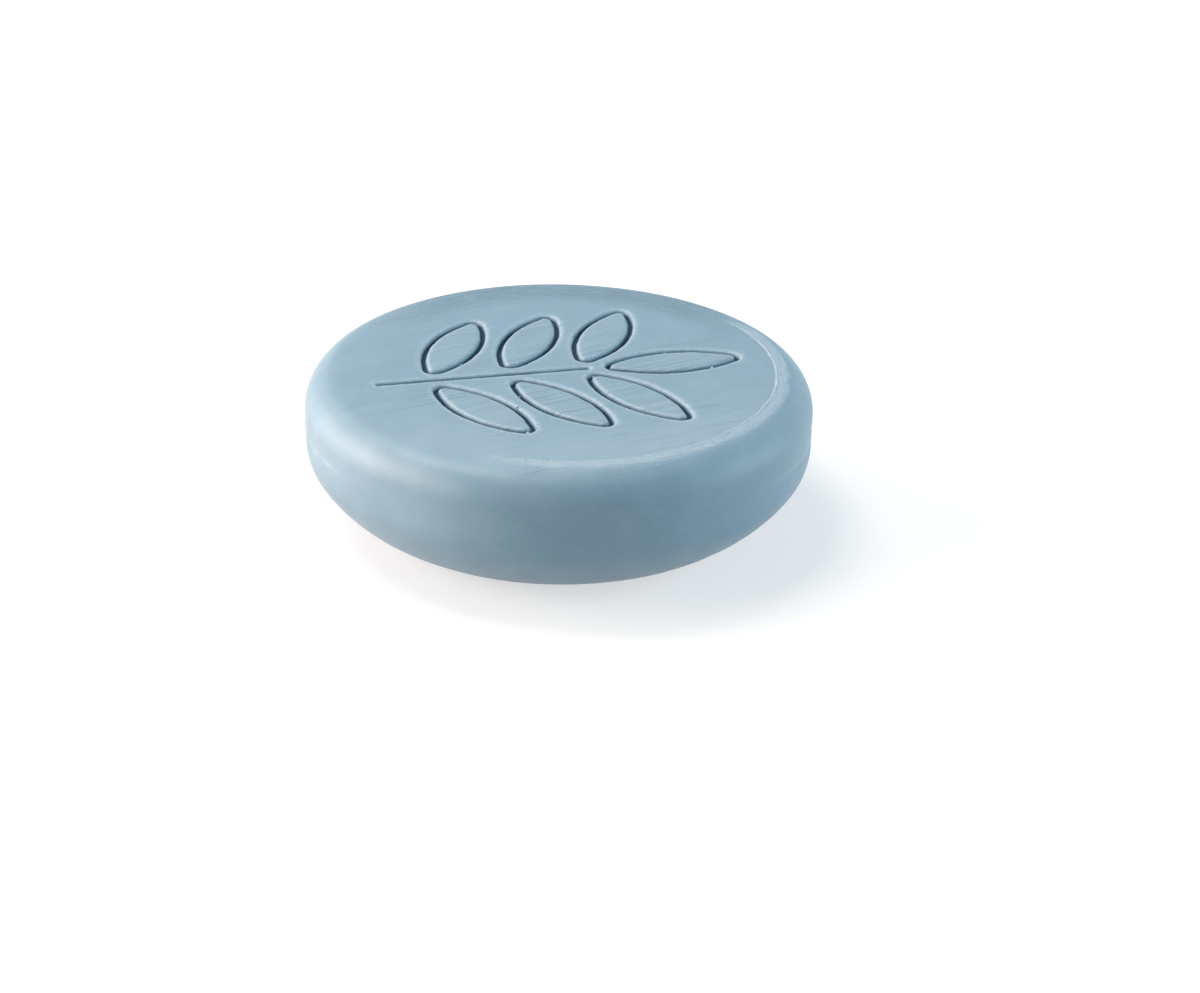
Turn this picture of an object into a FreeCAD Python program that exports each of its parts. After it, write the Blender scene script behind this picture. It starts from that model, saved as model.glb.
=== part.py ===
"""Round pressed bar of soap with a leafy sprig engraved in its upper face.

The bar stands on its flat base at Z = 0 with its axis on Z. Its side is a straight girth band
between a round shoulder above and a knee and a belly below. The sprig's stem runs along X:
pairs of leaves stand clear of it on both sides, and one more leaf follows its upper end.
"""
import FreeCAD
import Part
import math
import os
import Sketcher

NODE = "soap_bar"
START, END, CENTRE = 1, 2, 3
ORIGIN = (-1, 1)
X_AXIS, Y_AXIS = -1, -2
QUARTER = math.pi / 2
LEAST_CUT = 0.1
Vector = FreeCAD.Vector

SIZES = (
    ("bar_diameter", 76.0, "across the girth band"),
    ("bar_height", 23.5, "base to rim"),
    ("shoulder_radius", 5.6, "turn from the girth band to the upper face"),
    ("band_height", 4.9, "straight girth band between shoulder and knee"),
    ("knee_radius", 7.0, "turn below the girth band"),
    ("belly_radius", 21.0, "belly between the knee and the flat base"),
    ("ridge_height", 0.12, "parting ridge that the two dies leave round the band"),
    ("ridge_width", 0.9, "parting ridge, up the band"),
    ("panel_margin", 0.35, "rim left standing round the stamped panel"),
    ("panel_recess", 0.15, "stamped panel below the rim"),
    ("groove_width", 1.5, "engraved line, at the panel"),
    ("groove_depth", 0.75, "engraved line"),
    ("groove_floor", 0.35, "narrow bottom of the engraved line"),
    ("leaf_length", 20.0, "middle of the engraved line, tip to tip"),
    ("leaf_width", 7.4, "middle of the engraved line, side to side"),
    ("leaf_tip_radius", 1.3, "round ends of a leaf"),
    ("leaf_angle", 60.0, "between a side leaf and the stem, in degrees"),
    ("leaf_gap", 3.2, "from the middle of the stem to the near tip of a leaf"),
    ("leaf_web", 1.15, "bare panel left between two leaves in a row"),
    ("pair_count", 3, "pairs of leaves"),
    ("pair_set_back", 1.5, "from the stem's upper end to where the last pair points"),
    ("sprig_margin", 4.65, "bare panel beyond the two ends of the sprig"),
)
PANEL_LEVEL = "Sizes.bar_height - Sizes.panel_recess"
FACE_RADIUS = "(Sizes.bar_diameter / 2 - Sizes.shoulder_radius)"
PANEL_RADIUS = f"({FACE_RADIUS} - Sizes.panel_margin)"
STEM_FOOT = f"(Sizes.sprig_margin - {PANEL_RADIUS})"
END_LEAF = f"({PANEL_RADIUS} - Sizes.sprig_margin - Sizes.leaf_length)"
STEM_TOP = f"({END_LEAF} - Sizes.leaf_gap)"
TILT = "(Sizes.leaf_angle * 1deg)"
LEAF_PITCH = f"((Sizes.leaf_width + Sizes.groove_width + Sizes.leaf_web) / sin{TILT})"
ROW_LENGTH = f"({LEAF_PITCH} * (Sizes.pair_count - 1))"
FIRST_PAIR = f"({STEM_TOP} - Sizes.pair_set_back - {ROW_LENGTH})"


def make_sheet(doc):
    """Puts the driving dimensions in a spreadsheet and returns them by name."""
    sheet = doc.addObject("Spreadsheet::Sheet", "Sizes")
    for row, (alias, value, meaning) in enumerate(SIZES, start=1):
        sheet.set(f"A{row}", meaning)
        sheet.set(f"B{row}", str(value))
        sheet.setAlias(f"B{row}", alias)
    doc.recompute()
    return {alias: float(sheet.get(alias)) for alias, _, _ in SIZES}


def new_sketch(body, name, role):
    """A sketch on the origin plane of that role."""
    sketch = body.newObject("Sketcher::SketchObject", name)
    support = next(f for f in body.Origin.OriginFeatures if f.Role == role)
    sketch.AttachmentSupport = [(support, "")]
    sketch.MapMode = "FlatFace"
    return sketch


def move_sketch(sketch, axis=Vector(0, 0, 1), angle="0", **coordinates):
    """Turns a sketch about its own axis and moves it, by formulas in its plane's x, y and z."""
    sketch.AttachmentOffset = FreeCAD.Placement(Vector(0, 0, 0), FreeCAD.Rotation(axis, 1))
    sketch.setExpression("AttachmentOffset.Rotation.Angle", angle)
    for name, formula in coordinates.items():
        sketch.setExpression(f"AttachmentOffset.Base.{name}", formula)


def rule(sketch, kind, *where):
    sketch.addConstraint(Sketcher.Constraint(kind, *where))


def dimension(sketch, kind, where, value, formula):
    """Adds a driving dimension to a sketch and ties it to the sheet."""
    number = sketch.addConstraint(Sketcher.Constraint(kind, *where, value))
    sketch.setExpression(f"Constraints[{number}]", formula)


def arc(x, y, radius, start, end):
    """Counterclockwise arc about x, y, from one angle in radians to another."""
    return Part.ArcOfCircle(Part.Circle(Vector(x, y, 0), Vector(0, 0, 1), radius), start, end)


def line(x1, y1, x2, y2):
    return Part.LineSegment(Vector(x1, y1, 0), Vector(x2, y2, 0))


def draw_half_section(sketch, s):
    """Half of the bar's upright section: base, belly, knee, band with its ridge, shoulder, face."""
    half, height, shoulder = s["bar_diameter"] / 2, s["bar_height"], s["shoulder_radius"]
    knee, belly = s["knee_radius"], s["belly_radius"]
    high = height - shoulder
    low = high - s["band_height"]
    reach = math.sqrt((belly - knee) ** 2 - (belly - low) ** 2)
    base = half - knee - reach
    meet = math.atan2(low - belly, reach)
    middle = (high + low) / 2
    rise, crest = s["ridge_width"] / 2, half + s["ridge_height"]
    (base_line, belly_arc, knee_arc, low_band, ridge_low, ridge_high,
     high_band, shoulder_arc, face_line, axis) = sketch.addGeometry([
        line(0, 0, base, 0),
        arc(base, belly, belly, -QUARTER, meet),
        arc(half - knee, low, knee, meet, 0),
        line(half, low, half, middle - rise),
        line(half, middle - rise, crest, middle),
        line(crest, middle, half, middle + rise),
        line(half, middle + rise, half, high),
        arc(half - shoulder, high, shoulder, 0, QUARTER),
        line(half - shoulder, height, 0, height),
        line(0, height, 0, 0),
    ], False)
    rule(sketch, "Coincident", base_line, START, *ORIGIN)
    rule(sketch, "Horizontal", base_line)
    rule(sketch, "Tangent", base_line, END, belly_arc, START)
    rule(sketch, "Tangent", belly_arc, END, knee_arc, START)
    rule(sketch, "Tangent", knee_arc, END, low_band, START)
    rule(sketch, "Vertical", low_band)
    rule(sketch, "Coincident", low_band, END, ridge_low, START)
    rule(sketch, "Coincident", ridge_low, END, ridge_high, START)
    rule(sketch, "Coincident", ridge_high, END, high_band, START)
    rule(sketch, "Vertical", high_band)
    rule(sketch, "Vertical", low_band, END, high_band, START)
    rule(sketch, "Equal", low_band, high_band)
    rule(sketch, "Equal", ridge_low, ridge_high)
    rule(sketch, "Tangent", high_band, END, shoulder_arc, START)
    rule(sketch, "Tangent", shoulder_arc, END, face_line, START)
    rule(sketch, "Horizontal", face_line)
    rule(sketch, "Coincident", face_line, END, axis, START)
    rule(sketch, "Vertical", axis)
    rule(sketch, "Coincident", axis, END, base_line, START)
    dimension(sketch, "DistanceX", (*ORIGIN, low_band, START), half, "Sizes.bar_diameter / 2")
    dimension(sketch, "DistanceY", (*ORIGIN, axis, START), height, "Sizes.bar_height")
    dimension(sketch, "DistanceY", (low_band, START, high_band, END), high - low,
              "Sizes.band_height")
    dimension(sketch, "Radius", (shoulder_arc,), shoulder, "Sizes.shoulder_radius")
    dimension(sketch, "Radius", (knee_arc,), knee, "Sizes.knee_radius")
    dimension(sketch, "Radius", (belly_arc,), belly, "Sizes.belly_radius")
    dimension(sketch, "DistanceX", (*ORIGIN, ridge_low, END), crest,
              "Sizes.bar_diameter / 2 + Sizes.ridge_height")
    dimension(sketch, "DistanceY", (ridge_low, START, ridge_high, END), 2 * rise,
              "Sizes.ridge_width")


def turn_blank(body, s):
    """The pressed bar before its face is stamped."""
    section = new_sketch(body, "HalfSection", "XZ_Plane")
    draw_half_section(section, s)
    blank = body.newObject("PartDesign::Revolution", "Blank")
    blank.Profile = section
    blank.ReferenceAxis = (section, ["V_Axis"])
    blank.Angle = 360


def stamp_panel(body, s):
    """The round panel that the die presses a little below the rim."""
    outline = new_sketch(body, "PanelOutline", "XY_Plane")
    move_sketch(outline, z="Sizes.bar_height")
    radius = s["bar_diameter"] / 2 - s["shoulder_radius"] - s["panel_margin"]
    circle = outline.addGeometry(Part.Circle(Vector(0, 0, 0), Vector(0, 0, 1), radius), False)
    rule(outline, "Coincident", circle, CENTRE, *ORIGIN)
    dimension(outline, "Radius", (circle,), radius, PANEL_RADIUS)
    panel = body.newObject("PartDesign::Pocket", "Panel")
    panel.Profile = outline
    panel.setExpression("Length", "Sizes.panel_recess")


def draw_groove(sketch, s, whole):
    """Section of the engraved line: two sloping walls and a narrow floor, or its half beyond x = 0."""
    half, floor_half, depth = s["groove_width"] / 2, s["groove_floor"] / 2, s["groove_depth"]
    left = -1 if whole else 0
    corners = [(left * half, 0), (half, 0), (floor_half, -depth), (left * floor_half, -depth)]
    loop = list(zip(corners, corners[1:] + corners[:1]))
    sides = sketch.addGeometry([line(*start, *end) for start, end in loop], False)
    for side, after in zip(sides, sides[1:] + sides[:1]):
        rule(sketch, "Coincident", side, END, after, START)
    top, _, floor, left_wall = sides
    rule(sketch, "PointOnObject", top, START, X_AXIS)
    if whole:
        rule(sketch, "Symmetric", top, START, top, END, Y_AXIS)
        rule(sketch, "Symmetric", floor, START, floor, END, Y_AXIS)
    else:
        rule(sketch, "PointOnObject", top, START, Y_AXIS)
        rule(sketch, "Horizontal", top)
        rule(sketch, "Horizontal", floor)
        rule(sketch, "Vertical", left_wall)
    dimension(sketch, "DistanceX", (*ORIGIN, top, END), half, "Sizes.groove_width / 2")
    dimension(sketch, "DistanceX", (*ORIGIN, floor, START), floor_half, "Sizes.groove_floor / 2")
    dimension(sketch, "DistanceY", (floor, START, *ORIGIN), depth, "Sizes.groove_depth")


def draw_leaf_path(sketch, s):
    """Middle of a leaf's engraved line: two long arcs and two round tips, from the origin along x."""
    length, width, tip = s["leaf_length"], s["leaf_width"], s["leaf_tip_radius"]
    bow = ((length / 2 - tip) ** 2 + width**2 / 4 - tip**2) / (width - 2 * tip)
    sink = bow - width / 2
    lean = math.atan2(sink, length / 2 - tip)
    near_high, high, far, low, near_low = sketch.addGeometry([
        arc(tip, 0, tip, math.pi - lean, math.pi),
        arc(length / 2, -sink, bow, lean, math.pi - lean),
        arc(length - tip, 0, tip, -lean, lean),
        arc(length / 2, sink, bow, math.pi + lean, -lean),
        arc(tip, 0, tip, math.pi, math.pi + lean),
    ], False)
    rule(sketch, "Coincident", near_high, END, *ORIGIN)
    rule(sketch, "Tangent", near_high, START, high, END)
    rule(sketch, "Tangent", high, START, far, END)
    rule(sketch, "Tangent", far, START, low, END)
    rule(sketch, "Tangent", low, START, near_low, END)
    rule(sketch, "Coincident", near_low, START, *ORIGIN)
    rule(sketch, "Coincident", near_low, CENTRE, near_high, CENTRE)
    rule(sketch, "PointOnObject", near_high, CENTRE, X_AXIS)
    rule(sketch, "PointOnObject", far, CENTRE, X_AXIS)
    rule(sketch, "Equal", near_high, far)
    rule(sketch, "Equal", high, low)
    dimension(sketch, "Radius", (far,), tip, "Sizes.leaf_tip_radius")
    dimension(sketch, "DistanceX", (*ORIGIN, far, CENTRE), length - tip,
              "Sizes.leaf_length - Sizes.leaf_tip_radius")
    dimension(sketch, "Radius", (high,), bow,
              "((Sizes.leaf_length / 2 - Sizes.leaf_tip_radius)^2 + Sizes.leaf_width^2 / 4"
              " - Sizes.leaf_tip_radius^2) / (Sizes.leaf_width - 2 * Sizes.leaf_tip_radius)")


def engrave_leaf(body, s, name, side, x, y, angle):
    """Sweeps the line's section round a leaf that points from x, y at an angle to that side."""
    path = new_sketch(body, f"{name}Path", "XY_Plane")
    move_sketch(path, Vector(0, 0, side), angle, x=x, y=y, z=PANEL_LEVEL)
    draw_leaf_path(path, s)
    section = new_sketch(body, f"{name}Section", "XZ_Plane")
    move_sketch(section, Vector(0, side, 0), angle, x=x, y=PANEL_LEVEL, z=f"-({y})")
    draw_groove(section, s, whole=True)
    leaf = body.newObject("PartDesign::SubtractivePipe", name)
    leaf.Profile = section
    leaf.Spine = (path, [])
    return leaf


def engrave_leaves(body, s):
    """The first pair of leaves, its repeats along the stem, and the leaf beyond the stem."""
    along = f"{FIRST_PAIR} + Sizes.leaf_gap * cos{TILT}"
    aside = f"Sizes.leaf_gap * sin{TILT}"
    pair = [
        engrave_leaf(body, s, "HighLeaf", 1, along, aside, "Sizes.leaf_angle"),
        engrave_leaf(body, s, "LowLeaf", -1, along, f"-{aside}", "Sizes.leaf_angle"),
    ]
    row = body.newObject("PartDesign::LinearPattern", "LeafRow")
    row.Originals = pair
    row.Direction = (body.Document.getObject("PanelOutline"), ["H_Axis"])
    row.setExpression("Length", ROW_LENGTH)
    row.setExpression("Occurrences", "Sizes.pair_count")
    body.Tip = row
    engrave_leaf(body, s, "EndLeaf", 1, END_LEAF, "0", "0")


def engrave_stem(body, s):
    """The stem's straight line, cut from its upper end to its foot, and its two round ends."""
    section = new_sketch(body, "StemSection", "YZ_Plane")
    move_sketch(section, y=PANEL_LEVEL, z=STEM_TOP)
    draw_groove(section, s, whole=True)
    stem = body.newObject("PartDesign::Pocket", "Stem")
    stem.Profile = section
    stem.setExpression("Length", f"{STEM_TOP} - {STEM_FOOT}")
    for name, place in (("StemTop", STEM_TOP), ("StemFoot", STEM_FOOT)):
        half_section = new_sketch(body, f"{name}Section", "XZ_Plane")
        move_sketch(half_section, x=place, y=PANEL_LEVEL)
        draw_groove(half_section, s, whole=False)
        end = body.newObject("PartDesign::Groove", name)
        end.Profile = half_section
        end.ReferenceAxis = (half_section, ["V_Axis"])
        end.Angle = 360


def check(doc, body):
    """Stops the build if an object failed, a cut removed nothing or the bar isn't one solid."""
    for thing in doc.Objects:
        if {"Invalid", "Error"} & set(thing.State):
            raise RuntimeError(f"{thing.Name} failed: {thing.State}")
    for feature in body.Group:
        base = getattr(feature, "BaseFeature", None)
        if base and feature.Shape.Volume > base.Shape.Volume - LEAST_CUT:
            raise RuntimeError(f"{feature.Name} removes nothing")
    shape = body.Shape
    if shape.isNull() or not shape.isValid() or len(shape.Solids) != 1:
        raise RuntimeError("the bar is not one sound solid")
    print(f"{body.Label}: {shape.Volume / 1000:.2f} cm3")


doc = FreeCAD.newDocument("SoapBar")
sizes = make_sheet(doc)
soap = doc.addObject("PartDesign::Body", NODE)
soap.Label = NODE
turn_blank(soap, sizes)
stamp_panel(soap, sizes)
engrave_leaves(soap, sizes)
engrave_stem(soap, sizes)
doc.recompute()
check(doc, soap)
os.makedirs("parts", exist_ok=True)
soap.Shape.exportStep(f"parts/{NODE}.step")
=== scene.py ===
import math
from types import SimpleNamespace

import bmesh
import bpy
import numpy as np
from bpy.props import FloatProperty, FloatVectorProperty, IntProperty, PointerProperty
from mathutils import Matrix, Vector
from mathutils.geometry import delaunay_2d_cdt


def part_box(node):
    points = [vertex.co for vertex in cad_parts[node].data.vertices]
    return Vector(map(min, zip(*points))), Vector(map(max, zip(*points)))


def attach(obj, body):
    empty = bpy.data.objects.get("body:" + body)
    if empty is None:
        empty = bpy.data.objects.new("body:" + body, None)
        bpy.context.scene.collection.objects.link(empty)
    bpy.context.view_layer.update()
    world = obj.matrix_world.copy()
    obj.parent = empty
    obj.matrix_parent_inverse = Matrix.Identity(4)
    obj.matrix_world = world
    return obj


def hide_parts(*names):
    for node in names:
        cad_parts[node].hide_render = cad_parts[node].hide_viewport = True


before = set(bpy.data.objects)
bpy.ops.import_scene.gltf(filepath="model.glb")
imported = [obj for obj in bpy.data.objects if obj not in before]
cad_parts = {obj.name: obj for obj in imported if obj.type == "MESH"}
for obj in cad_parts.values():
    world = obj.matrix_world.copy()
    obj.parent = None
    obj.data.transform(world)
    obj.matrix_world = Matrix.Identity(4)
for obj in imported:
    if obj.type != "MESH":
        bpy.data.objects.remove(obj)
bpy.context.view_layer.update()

bl_info = {
    "name": "Pressed bar of soap",
    "version": (1, 0, 0),
    "blender": (4, 5, 0),
    "location": "3D View > Sidebar > Soap",
    "description": "Makes a round pressed bar of soap with a sprig engraved in its face",
    "category": "Add Mesh",
}

MM = 0.001
WELD = 0.001 * MM
UP = math.pi / 2
FULL_TURN = 2 * math.pi
NODE = "soap_bar"
LOW_CORNER, HIGH_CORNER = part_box(NODE)


# Sizes and finish that a user would change

class BarSizes(bpy.types.PropertyGroup):
    """The pressed form, with the same sizes as the solid."""

    diameter: FloatProperty(
        name="Diameter", description="Across the girth band", default=76.0 * MM, unit="LENGTH")
    height: FloatProperty(
        name="Height", description="From the base to the rim of the face",
        default=HIGH_CORNER[2] - LOW_CORNER[2], unit="LENGTH")
    shoulder_radius: FloatProperty(
        name="Shoulder radius", description="Arc from the face to the girth", default=5.6 * MM, unit="LENGTH")
    band_height: FloatProperty(
        name="Band height", description="Upright part of the girth", default=4.9 * MM, unit="LENGTH")
    knee_radius: FloatProperty(
        name="Knee radius", description="Arc below the girth", default=7.0 * MM, unit="LENGTH")
    belly_radius: FloatProperty(
        name="Belly radius", description="Arc from the knee to the base", default=21.0 * MM, unit="LENGTH")
    ridge_height: FloatProperty(
        name="Parting ridge", description="How far the dies' parting line stands out",
        default=0.12 * MM, unit="LENGTH")
    ridge_width: FloatProperty(
        name="Ridge width", description="Width of the parting line", default=0.9 * MM, unit="LENGTH")
    segments: IntProperty(
        name="Segments", description="Points in each ring round the bar", default=760, min=96)


class SprigSizes(bpy.types.PropertyGroup):
    """The engraved sprig, laid out as on the solid. Only its line is cut deeper here."""

    leaf_length: FloatProperty(
        name="Leaf length", description="From tip to tip", default=20.0 * MM, unit="LENGTH")
    leaf_width: FloatProperty(
        name="Leaf width", description="Across the middle", default=7.4 * MM, unit="LENGTH")
    tip_radius: FloatProperty(
        name="Tip radius", description="Round of a leaf's two tips", default=1.3 * MM, unit="LENGTH")
    leaf_angle: FloatProperty(
        name="Leaf angle", description="Between a side leaf and the stem",
        default=math.radians(60), subtype="ANGLE")
    leaf_gap: FloatProperty(
        name="Leaf gap", description="From the stem to the start of a leaf", default=3.2 * MM, unit="LENGTH")
    leaf_web: FloatProperty(
        name="Web", description="Land left between two leaves", default=1.15 * MM, unit="LENGTH")
    pair_count: IntProperty(name="Pairs", description="Pairs of side leaves", default=3, min=1)
    pair_set_back: FloatProperty(
        name="Set back", description="From the stem's top back to the last pair",
        default=1.5 * MM, unit="LENGTH")
    margin: FloatProperty(
        name="Margin", description="From the sprig's ends to the panel's edge",
        default=4.65 * MM, unit="LENGTH")
    line_width: FloatProperty(
        name="Line width", description="Width of the cut line", default=1.5 * MM, unit="LENGTH")
    line_depth: FloatProperty(
        name="Line depth", description="Depth of the cut line", default=0.9 * MM, unit="LENGTH")


class SoapFinish(bpy.types.PropertyGroup):
    """Colours of the soap, linear."""

    soap: FloatVectorProperty(
        name="Soap", description="Body colour", subtype="COLOR", default=(0.22, 0.383, 0.495))
    # Dry soap colour; also laid on the front of the face as painted light.
    dry_soap_and_painted_light: FloatVectorProperty(
        name="Dry soap", description="Scraped and dried places", subtype="COLOR",
        default=(0.44, 0.60, 0.71))
    # Darker clouds and streaks, and painted shade in the floors of the cuts and at the rear of the face.
    dark_tone_and_painted_shade: FloatVectorProperty(
        name="Deep soap", description="Freshly cut places", subtype="COLOR", default=(0.010, 0.052, 0.105))
    crumb: FloatVectorProperty(
        name="Crumbs", description="Dry crumbs and the raised lip", subtype="COLOR", default=(0.6, 0.7, 0.76))
    # Faint patches on the side, laid where the left lamps' highlight falls: a stain and a painted highlight.
    stain_and_painted_highlight: FloatVectorProperty(
        name="Stain", description="Faint patches on the side", subtype="COLOR", default=(0.42, 0.62, 0.79))


class StageSettings(bpy.types.PropertyGroup):
    """Floor, lamps and camera."""

    floor: FloatVectorProperty(
        name="Floor", description="Colour of the floor", subtype="COLOR", default=(0.6, 0.6, 0.6))
    turn: FloatProperty(
        name="Turn", description="How far the camera and the lamps go round the bar",
        default=math.radians(-14), subtype="ANGLE")
    pitch: FloatProperty(
        name="Pitch", description="How far the camera looks down", default=math.radians(26.11), subtype="ANGLE")
    roll: FloatProperty(
        name="Roll", description="Tilt of the camera", default=math.radians(1.134), subtype="ANGLE")
    distance: FloatProperty(
        name="Distance", description="From the camera to the face", default=471.1 * MM, unit="LENGTH")
    lens: FloatProperty(name="Lens", description="Focal length in millimetres", default=94.75)
    key: FloatProperty(
        name="Key lamp", description="Power of the soft lamp on the left", default=4.35, unit="POWER")
    edge: FloatProperty(
        name="Edge lamp", description="Power of the low lamp behind the left side", default=1.9, unit="POWER")
    warm_colour: FloatVectorProperty(
        name="Warm colour", description="Tint of the lamps on the left", subtype="COLOR",
        default=(1.0, 0.77, 0.65))
    top: FloatProperty(
        name="Top lamp", description="Power of the lamp overhead", default=4.4, unit="POWER")
    top_colour: FloatVectorProperty(
        name="Top colour", description="Tint of the lamp overhead", subtype="COLOR", default=(1.0, 0.93, 0.89))
    rim: FloatProperty(
        name="Rim lamp", description="Power of the lamp on the right", default=2.3, unit="POWER")
    front: FloatProperty(
        name="Front lamp", description="Power of the lamp in front", default=0.85, unit="POWER")
    cool_colour: FloatVectorProperty(
        name="Cool colour", description="Tint of the lamps in front and on the right", subtype="COLOR",
        default=(0.8, 0.95, 1.0))
    ambient: FloatProperty(
        name="Ambient", description="Strength of the surroundings", default=0.225)
    ambient_colour: FloatVectorProperty(
        name="Ambient colour", description="Tint of the surroundings", subtype="COLOR",
        default=(0.62, 0.87, 1.0))


# Noise and steps

def smooth(value, low, high):
    """0 below low, 1 above high, and t * t * (3 - 2 t) between them."""
    step = np.clip((value - low) / (high - low), 0.0, 1.0)
    return step * step * (3.0 - 2.0 * step)


def within(value, low, full, hold, high):
    """Rises from 0 at low to 1 at full, stays there up to hold, and is back at 0 at high."""
    return smooth(value, low, full) * (1 - smooth(value, hold, high))


def wrapped(angle):
    """The same angle, from minus to plus half a turn."""
    return (angle + math.pi) % FULL_TURN - math.pi


def grain(across, along, seed, cells=256):
    """Value noise from -1 to 1. The heights of a seeded lattice are joined by the smooth step, and the
    lattice repeats after that many cells, so a whole turn of them closes."""
    table = np.random.default_rng(seed).uniform(-1.0, 1.0, (cells, cells))
    column, row = np.floor(across).astype(int), np.floor(along).astype(int)
    right, above = smooth(across - column, 0.0, 1.0), smooth(along - row, 0.0, 1.0)
    c0, c1, r0, r1 = column % cells, (column + 1) % cells, row % cells, (row + 1) % cells
    low = table[c0, r0] * (1 - right) + table[c1, r0] * right
    high = table[c0, r1] * (1 - right) + table[c1, r1] * right
    return low * (1 - above) + high * above


def ring_grain(bearing, along, cells, seed):
    """Value noise round the bar, with that many cells in a whole turn."""
    return grain(cells * bearing / FULL_TURN, along, seed, cells)


def ripple(turn, orders, seed):
    """A sum of cosines of those whole orders of the turn, with seeded phases, from about -1 to 1."""
    phases = np.random.default_rng(seed).uniform(0.0, FULL_TURN, len(orders))
    waves = [np.cos(order * turn + phase) for order, phase in zip(orders, phases)]
    return sum(waves) / math.sqrt(2.0 * len(orders))


# Height of the face

LIP_RADIUS = 32.0 * MM
LIP_OFF_CENTRE, LIP_OFF_TOWARDS = 0.42 * MM, math.radians(25)
LIP_WIDTH, LIP_RISE = 0.13 * MM, 0.085 * MM
LIP_WANDER, LIP_JITTER = 0.07 * MM, 0.05 * MM
LIP_MIDDLE, LIP_HALF, LIP_FADE = math.radians(-33), math.radians(58), math.radians(24)
LIP_LEAST = 0.03
PANEL_DROP, PANEL_TILT = 0.16 * MM, 0.09 * MM
PANEL_SWELL, SWELL_CELL = 0.02 * MM, 7 * MM
STEP_FROM, STEP_TO = -0.22 * MM, 0.10 * MM
RIM_DROP = 0.09 * MM
ROUND_START, ROUND_END = 26.0 * MM, 32.4 * MM
ROUND_DROP, ROUND_RUN = 0.16 * MM, 1.3 * MM


def bearing_of(x, y, turn):
    """Angle round the bar from the camera's right."""
    return wrapped(np.arctan2(y, x) - turn)


def lip_strength(bearing):
    """1 on the side where the rim was pinched up, and next to nothing on the other."""
    off = np.abs(wrapped(bearing - LIP_MIDDLE))
    return LIP_LEAST + (1 - LIP_LEAST) * (1 - smooth(off, LIP_HALF, LIP_HALF + LIP_FADE))


def lip_radius(bearing):
    """The lip's line lies off centre, and wanders a little as it goes round."""
    wander = LIP_WANDER * ripple(bearing, (3, 7, 19, 43), seed=11)
    jitter = LIP_JITTER * ripple(bearing, (97, 151, 211), seed=12)
    return LIP_RADIUS + LIP_OFF_CENTRE * np.cos(bearing - LIP_OFF_TOWARDS) + wander + jitter


def face_relief(x, y, turn):
    """How far the top lies below the rim's level: a panel tilted a little to the right, a step up to the rim,
    a crest on the step, and a slow fall towards the shoulder where there is no lip."""
    radius = np.hypot(x, y)
    bearing = bearing_of(x, y, turn)
    strength = lip_strength(bearing)
    past = radius - lip_radius(bearing)
    level = -PANEL_DROP - PANEL_TILT * radius * np.cos(bearing) / LIP_RADIUS
    level = level + PANEL_SWELL * grain(x / SWELL_CELL, y / SWELL_CELL, seed=21)
    rise = smooth(past, STEP_FROM, STEP_TO)
    broken = np.clip(0.62 + 0.6 * ripple(bearing, (31, 89, 137, 193, 251), seed=13), 0.08, 1.3)
    crest = strength * LIP_RISE * broken * np.exp(-(past / LIP_WIDTH) ** 2)
    outwards = np.clip((radius - ROUND_START) / (ROUND_END - ROUND_START), 0.0, 1.0)
    fall = -ROUND_DROP * (1 - strength) * outwards ** 2
    rim = level * (1 - strength) - RIM_DROP * strength
    return np.minimum(level * (1 - rise) + rim * rise + crest + fall, 0.0)


# The engraved lines

BAND_HALF = 1.06 * MM
HALF_DEPTH_AT = 0.245
STEEPNESS = 4.6
SHOULDER_SHARE, INNER_SHOULDER = 0.22, 0.5
ACROSS = np.array((0.0, 0.12, 0.22, 0.31, 0.40, 0.50, 0.63, 0.82, 1.06)) * MM
STEP_ALONG = 0.24 * MM
LINE_SWELL, LINE_JITTER, DEPTH_SWELL, LINE_WANDER = 0.07, 0.04, 0.06, 0.035 * MM
LEAF_SEED, STEM_SEED = 100, 300
ENDS_AFTER, CAP_POINTS = 12, 13
PANEL_RADIUS = 32.05 * MM


def cut_depth(offset, width, inner=1.0):
    """Share of the full depth at that distance from the middle of the line: a narrow cut with the bell
    1 / (1 + (distance / half-depth distance) ** steepness), and a soft shoulder that falls to nothing at the
    band's edge. The shoulder on the inner side has that share of the outer one's depth."""
    far = np.abs(offset)
    bell = 1.0 / (1.0 + (far / (HALF_DEPTH_AT * width)) ** STEEPNESS)
    soft = (1 - smooth(far, -0.1 * MM, BAND_HALF)) ** 1.5
    worn = SHOULDER_SHARE * np.where(offset < 0, inner, 1.0)
    return ((1 - worn) * bell + worn * soft) * (1 - smooth(far, 0.8 * BAND_HALF, BAND_HALF))


def directions(angle):
    """The unit vectors (cos angle, sin angle)."""
    return np.stack((np.cos(angle), np.sin(angle)), axis=-1)


def leaf_places(size):
    """Foot (x, y) and heading of each leaf: pairs along the stem, then the leaf at its end."""
    pitch = (size.leaf_width + size.line_width + size.leaf_web) / math.sin(size.leaf_angle)
    _, stem_top = stem_ends(size)
    last = stem_top - size.pair_set_back
    places = []
    for pair in range(size.pair_count):
        joint = last - pitch * (size.pair_count - 1 - pair)
        for side in (1, -1):
            heading = side * size.leaf_angle
            foot = (joint + size.leaf_gap * math.cos(heading), size.leaf_gap * math.sin(heading))
            places.append((foot, heading))
    places.append(((stem_top + size.leaf_gap, 0.0), 0.0))
    return places


def stem_ends(size):
    """x of the stem's two ends."""
    edge = PANEL_RADIUS - size.margin
    return -edge, edge - size.leaf_length - size.leaf_gap


def stem_distance(size, x, y):
    """Distance from the stem's line."""
    foot, top = stem_ends(size)
    return np.hypot(x - np.clip(x, foot, top), y)


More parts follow.
